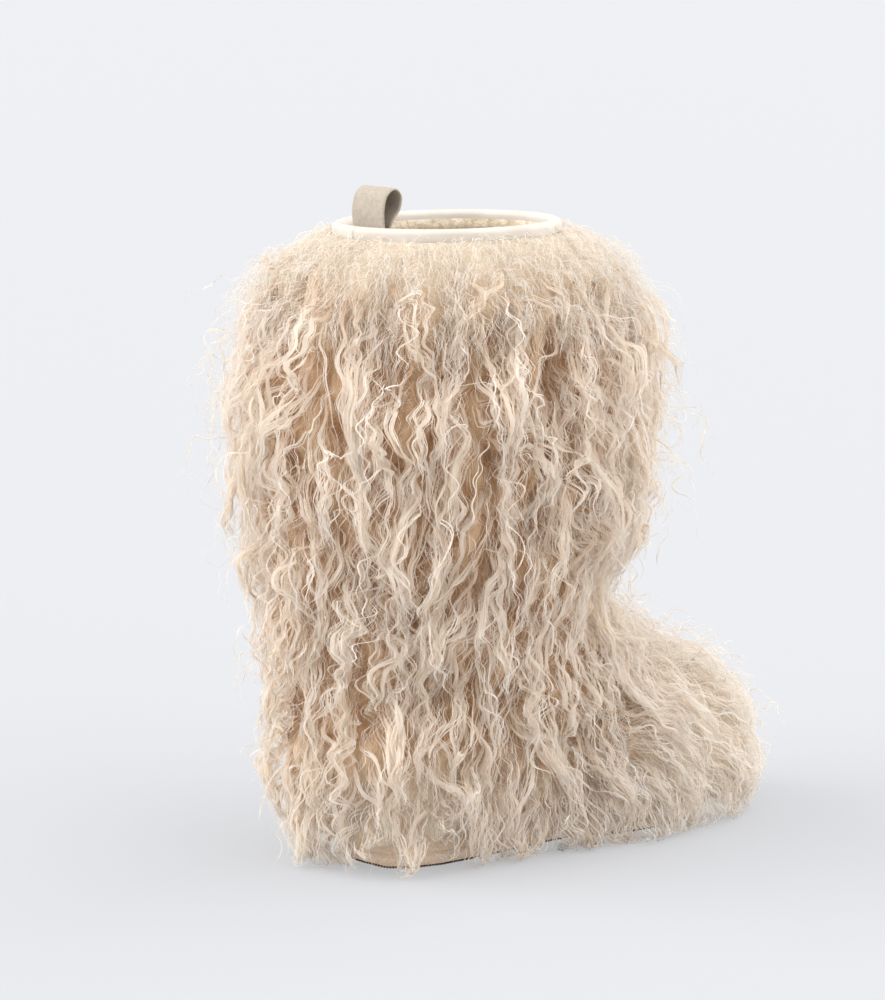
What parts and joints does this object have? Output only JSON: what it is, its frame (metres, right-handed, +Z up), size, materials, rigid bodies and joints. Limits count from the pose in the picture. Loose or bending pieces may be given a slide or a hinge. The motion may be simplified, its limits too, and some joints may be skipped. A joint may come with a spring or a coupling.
{
  "type": "snow boot",
  "caption": "Tall right snow boot: hollow foot and shaft under long curly fur, bound collar, pull loop at the back, low wedge sole with a barred tread.",
  "frame": {"origin": "on the floor under the middle of the heel, on the flat face of a heel tread bar", "axes": "+X to the toe, +Y to the wearer's left (inner side of this right boot), +Z up the shaft"},
  "size_m": [0.3432, 0.2252, 0.3643],
  "materials": {
    "rubber_brown": "matte crepe rubber",
    "suede_sand": "napped suede wrap",
    "fleece_cream": "short fleece",
    "hide_sand": "hide under the pile",
    "fur_cream": "long curly pile",
    "leather_ivory": "smooth satin",
    "webbing_ecru": "woven, matte"
  },
  "bodies": {
    "root": {"outsole": "rubber_brown", "midsole": "suede_sand", "insole": "fleece_cream", "upper": "hide_sand", "fur": "fur_cream", "collar_binding": "leather_ivory", "pull_loop": "webbing_ecru"}
  },
  "joints": []
}
